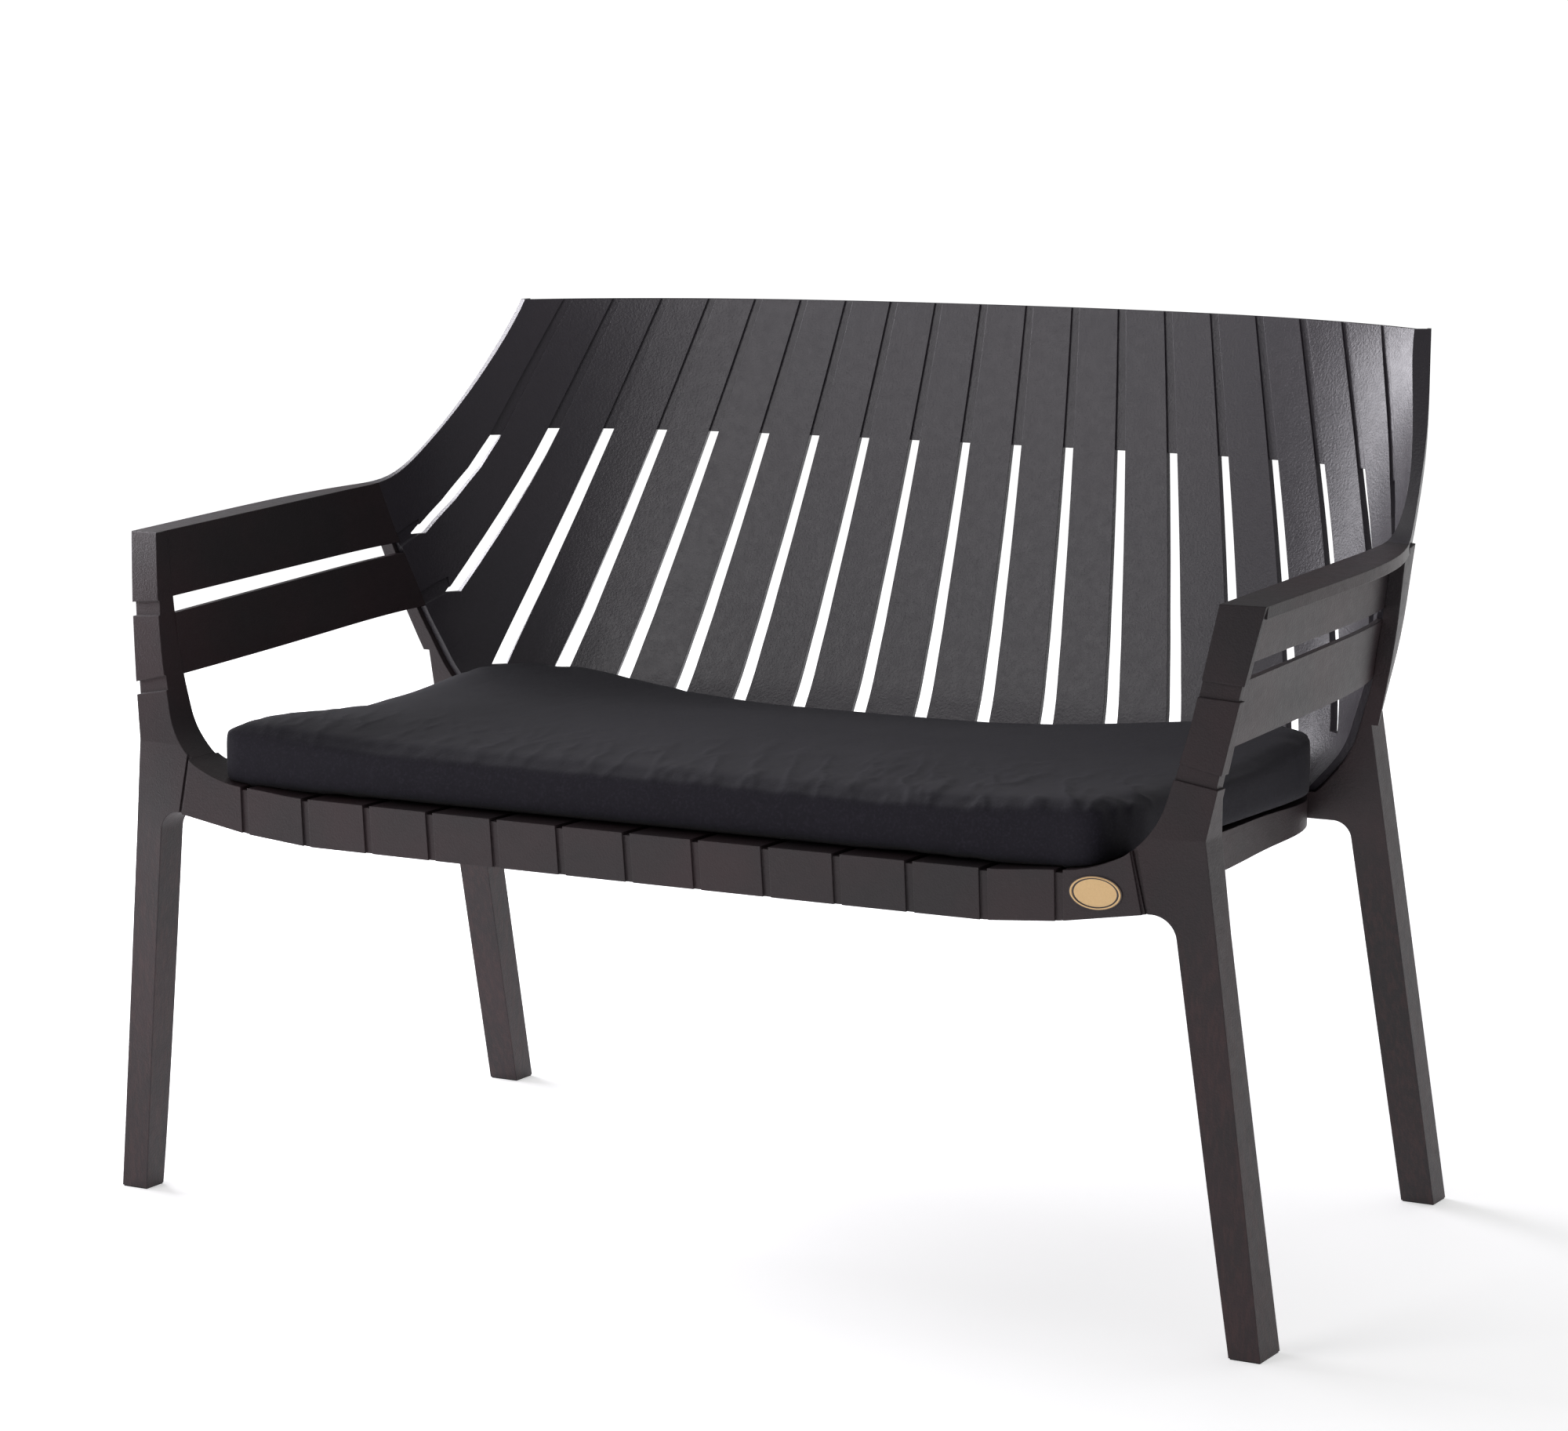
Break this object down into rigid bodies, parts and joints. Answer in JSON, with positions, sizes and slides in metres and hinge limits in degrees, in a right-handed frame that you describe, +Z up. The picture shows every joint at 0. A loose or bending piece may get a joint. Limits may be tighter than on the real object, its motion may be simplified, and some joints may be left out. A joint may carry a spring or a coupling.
{
  "type": "garden bench",
  "caption": "Two-seat resin garden bench with a slatted wrap-round back, open arms, splayed legs and a loose boxed seat cushion.",
  "frame": {"origin": "on the floor, under the middle of the bench's bounding box", "axes": "+X along the length to the sitter's left (the viewer's right), +Y to the rear, +Z up; the bench faces -Y"},
  "size_m": [1.1776, 0.687, 0.824],
  "materials": {
    "resin": "satin moulded, espresso",
    "glide": "plain black",
    "screw_steel": "stainless",
    "plate": "beige and bronze, plain",
    "cushion_fabric": "plain woven, near-black navy",
    "foam": "open-cell foam",
    "zip_tape": "woven tape with a nylon coil",
    "zip_metal": "black enamel"
  },
  "bodies": {
    "frame": {"back_panel": "resin", "seat_panel": "resin", "arm_top_left": "resin", "arm_top_right": "resin", "arm_rail_left": "resin", "arm_rail_right": "resin", "front_leg_left": "resin", "front_leg_right": "resin", "rear_leg_left": "resin", "rear_leg_right": "resin", "front_glide_left": "glide", "front_glide_right": "glide", "rear_glide_left": "glide", "rear_glide_right": "glide", "maker_plate": "plate", "front_leg_screws": "screw_steel", "rear_leg_screws": "screw_steel", "back_screws": "screw_steel", "post_screws": "screw_steel", "post_screw_caps": "resin"},
    "cushion": {"cushion_cover_top": "cushion_fabric", "cushion_cover_border": "cushion_fabric", "cushion_cover_bottom": "cushion_fabric", "cushion_foam_core": "foam", "cushion_zip_tape": "zip_tape"},
    "zip_slider": {"cushion_zip_slider": "zip_metal"},
    "zip_pull": {"cushion_zip_pull": "zip_metal"}
  },
  "joints": [
    {"name": "cushion_lift", "type": "slide", "parent": "frame", "child": "cushion", "axis": [0, 0, 1], "range_m": [0, 0.25]},
    {"name": "zip_run", "type": "slide", "parent": "cushion", "child": "zip_slider", "axis": [1, 0, 0], "range_m": [0, 0.45]},
    {"name": "zip_pull_swing", "type": "hinge", "parent": "zip_slider", "child": "zip_pull", "pos_m": [-0.225, 0.1809, 0.422], "axis": [1, 0, 0], "range_deg": [0, 110]}
  ]
}
